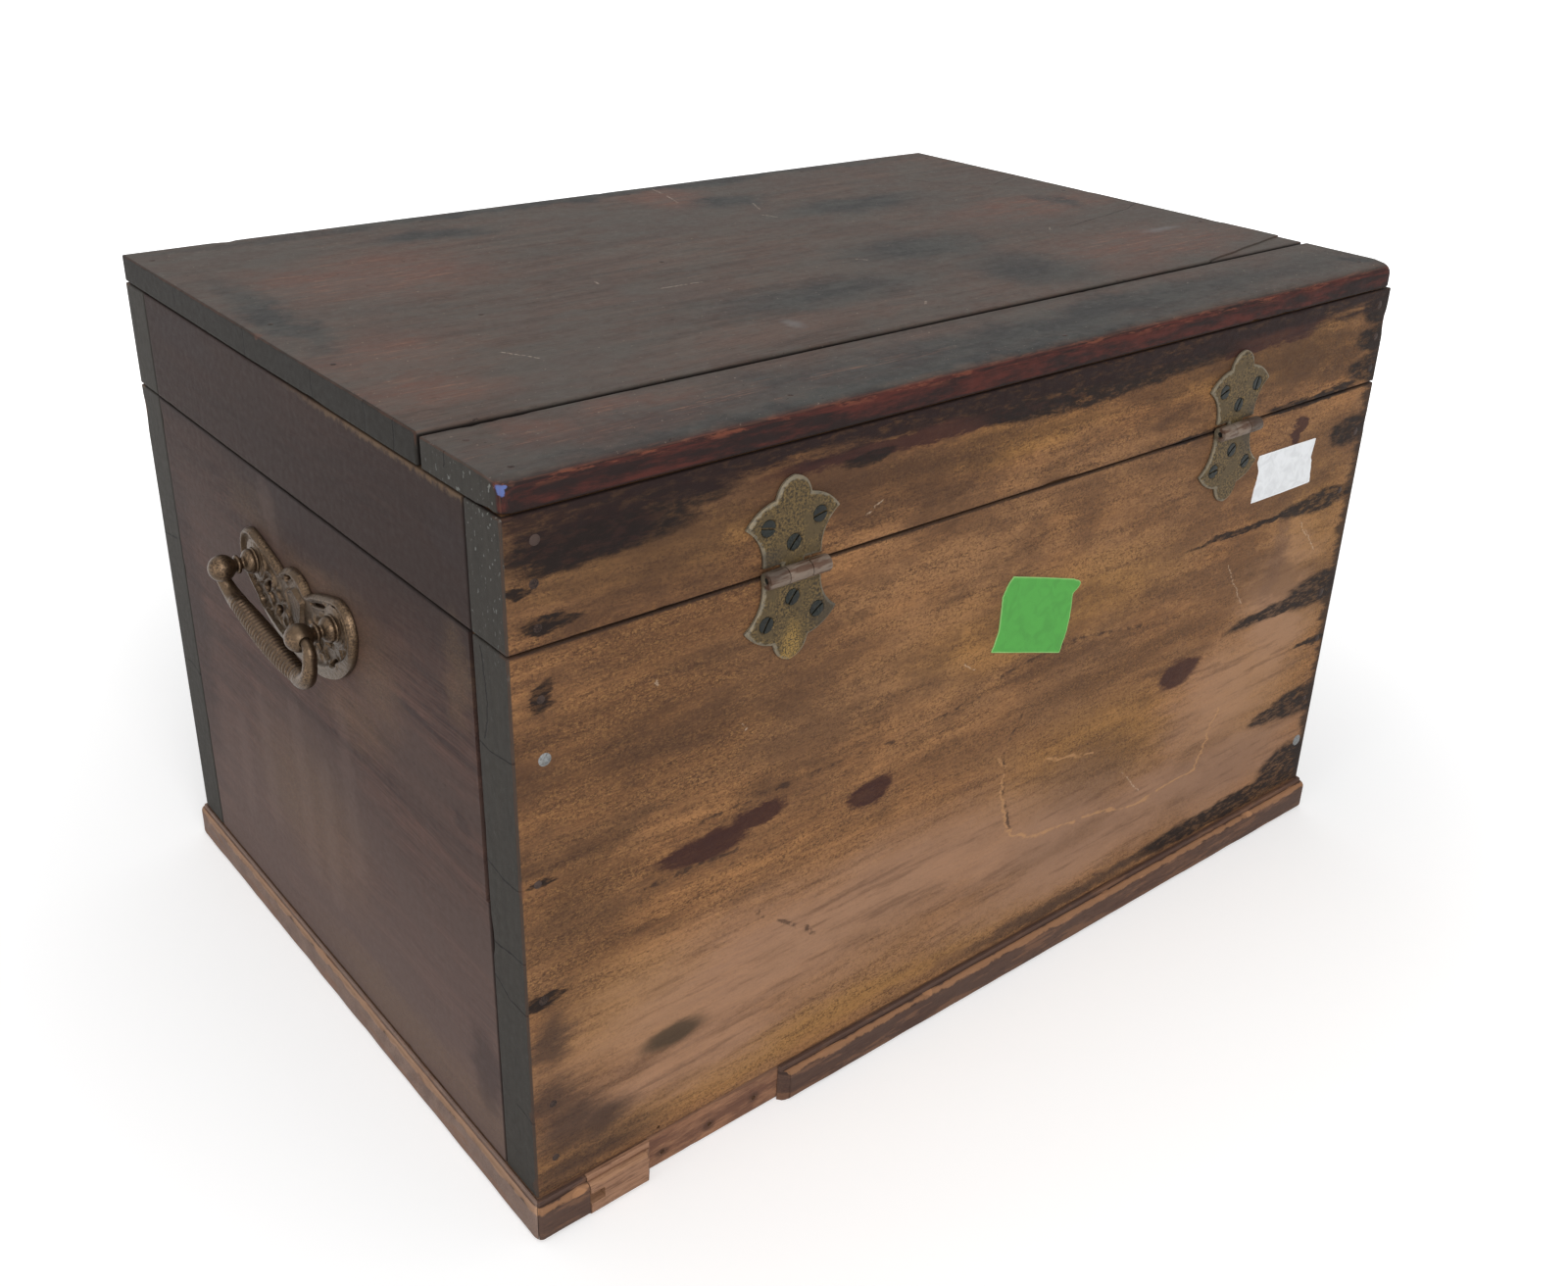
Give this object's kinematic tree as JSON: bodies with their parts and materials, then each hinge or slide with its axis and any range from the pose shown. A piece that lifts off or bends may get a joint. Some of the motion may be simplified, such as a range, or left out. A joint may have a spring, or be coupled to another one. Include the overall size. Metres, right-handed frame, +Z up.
{
  "type": "storage box",
  "caption": "Old wooden storage box with a hinged sawn-off lid, butterfly hinges, ball-and-bail end handles, a sliding chest lock and a worn base moulding.",
  "frame": {"origin": "centre of the object's outer box, on the surface it stands on", "axes": "+X along the length towards the pictured end, +Y towards the hinged back, +Z up"},
  "size_m": [0.568, 0.3664, 0.3285],
  "materials": {
    "dark_wood": "old dark varnish, dulled, scratched and stained",
    "golden_wood": "worn golden brown varnish with dark craquelure and stains",
    "moulding_wood": "worn brown varnish, bare at the edges",
    "aged_brass": "aged, speckled brown and olive",
    "handle_bronze": "brown bronze with grey-green deposits",
    "dark_steel": "dark, dull and slightly rusted"
  },
  "bodies": {
    "box": {"bottom_board": "dark_wood", "front_wall": "dark_wood", "back_wall": "golden_wood", "end_wall_right": "dark_wood", "end_wall_left": "dark_wood", "base_moulding_front": "moulding_wood", "base_moulding_right": "moulding_wood", "base_moulding_left": "moulding_wood", "base_moulding_back_long": "moulding_wood", "base_moulding_back_corner": "moulding_wood", "base_moulding_back_splinter": "moulding_wood", "hinge_body_leaf_right": "aged_brass", "hinge_pin_right": "dark_steel", "hinge_body_leaf_left": "aged_brass", "hinge_pin_left": "dark_steel", "hinge_screw_body_right_1": "dark_steel", "hinge_screw_body_right_2": "dark_steel", "hinge_screw_body_right_3": "dark_steel", "hinge_screw_body_left_1": "dark_steel", "hinge_screw_body_left_2": "dark_steel", "hinge_screw_body_left_3": "dark_steel", "handle_right_backplate": "handle_bronze", "handle_right_post_rear": "handle_bronze", "handle_right_post_front": "handle_bronze", "handle_right_nut_rear": "dark_steel", "handle_right_nut_front": "dark_steel", "handle_left_backplate": "handle_bronze", "handle_left_post_rear": "handle_bronze", "handle_left_post_front": "handle_bronze", "handle_left_nut_rear": "dark_steel", "handle_left_nut_front": "dark_steel", "lock_case": "aged_brass", "keyhole_escutcheon": "aged_brass"},
    "lid": {"lid_top_wide_board": "dark_wood", "lid_top_narrow_board": "dark_wood", "lid_top_sliver": "dark_wood", "lid_front": "dark_wood", "lid_back": "golden_wood", "lid_end_right": "dark_wood", "lid_end_left": "dark_wood", "hinge_lid_leaf_right": "aged_brass", "hinge_lid_leaf_left": "aged_brass", "hinge_screw_lid_right_1": "dark_steel", "hinge_screw_lid_right_2": "dark_steel", "hinge_screw_lid_right_3": "dark_steel", "hinge_screw_lid_left_1": "dark_steel", "hinge_screw_lid_left_2": "dark_steel", "hinge_screw_lid_left_3": "dark_steel", "lock_strike": "aged_brass"},
    "bail_right": {"handle_right_bail": "handle_bronze"},
    "bail_left": {"handle_left_bail": "handle_bronze"},
    "lock_bolt": {"lock_bolt": "dark_steel"}
  },
  "joints": [
    {"name": "lid_hinge", "type": "hinge", "parent": "box", "child": "lid", "pos_m": [0, 0.1797, 0.26475], "axis": [-1, 0, 0], "range_deg": [0, 180]},
    {"name": "bail_right_swing", "type": "hinge", "parent": "box", "child": "bail_right", "pos_m": [0.278, -0.0012, 0.221], "axis": [0, -1, 0], "range_deg": [-12, 200]},
    {"name": "bail_left_swing", "type": "hinge", "parent": "box", "child": "bail_left", "pos_m": [-0.278, -0.0012, 0.221], "axis": [0, 1, 0], "range_deg": [-12, 200]},
    {"name": "lock_bolt_slide", "type": "slide", "parent": "box", "child": "lock_bolt", "axis": [1, 0, 0], "range_m": [0, 0.007]}
  ]
}
